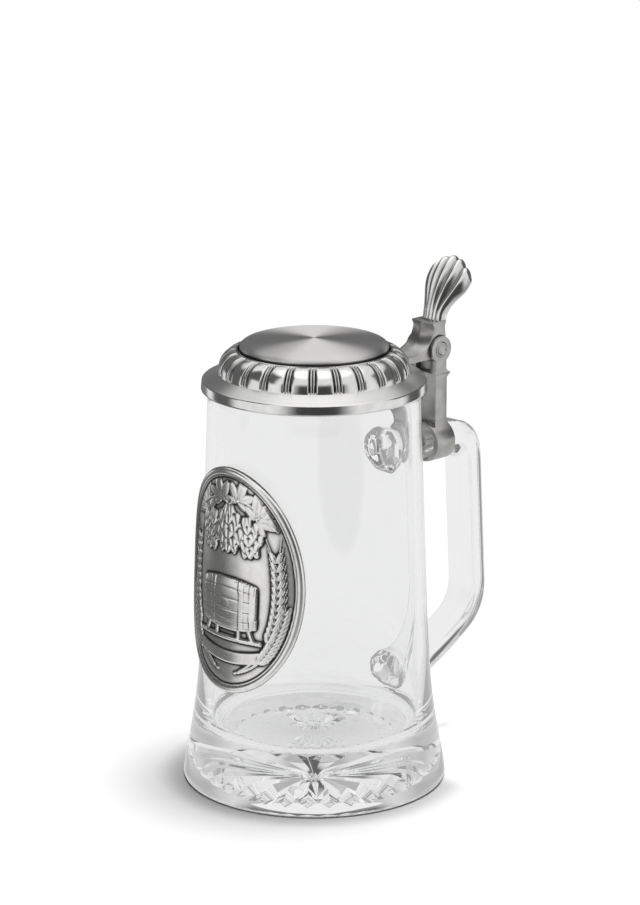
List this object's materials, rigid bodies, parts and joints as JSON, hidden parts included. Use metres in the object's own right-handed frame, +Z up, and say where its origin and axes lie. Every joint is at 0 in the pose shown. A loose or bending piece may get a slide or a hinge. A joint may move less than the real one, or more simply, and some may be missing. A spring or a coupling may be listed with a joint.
{
  "type": "lidded glass beer stein",
  "caption": "Clear glass beer stein with a faceted handle, star-cut foot, hinged pewter lid with a shell thumb lift, and an oval pewter medallion on the wall.",
  "frame": {"origin": "centre of the foot's underside, on the table plane and the beaker's axis", "axes": "+Z up the beaker's axis, +X towards the handle, the hinge pin along Y, the medallion towards -X"},
  "size_m": [0.1416, 0.1012, 0.193],
  "materials": {
    "clear_glass": "clear pressed glass, fire polished",
    "cast_pewter": "cast pewter, satin",
    "antique_pewter": "pewter relief with dark antique patina in the recesses",
    "polished_pewter": "pewter, turned and polished, dark in the grooves",
    "brushed_pewter": "pewter, circular brushed",
    "adhesive": "grey glue pad"
  },
  "bodies": {
    "mug": {"glass_body": "clear_glass", "glass_handle": "clear_glass", "handle_strap": "cast_pewter", "hinge_post": "cast_pewter", "hinge_pin": "cast_pewter", "medallion": "antique_pewter", "medallion_adhesive": "adhesive"},
    "lid": {"lid_cover": "polished_pewter", "lid_disc": "brushed_pewter", "lid_lug": "cast_pewter", "thumb_lift": "polished_pewter"}
  },
  "joints": [
    {"name": "lid_hinge", "type": "hinge", "parent": "mug", "child": "lid", "pos_m": [0.0617, 0, 0.1588], "axis": [0, 1, 0], "range_deg": [0, 95]}
  ]
}
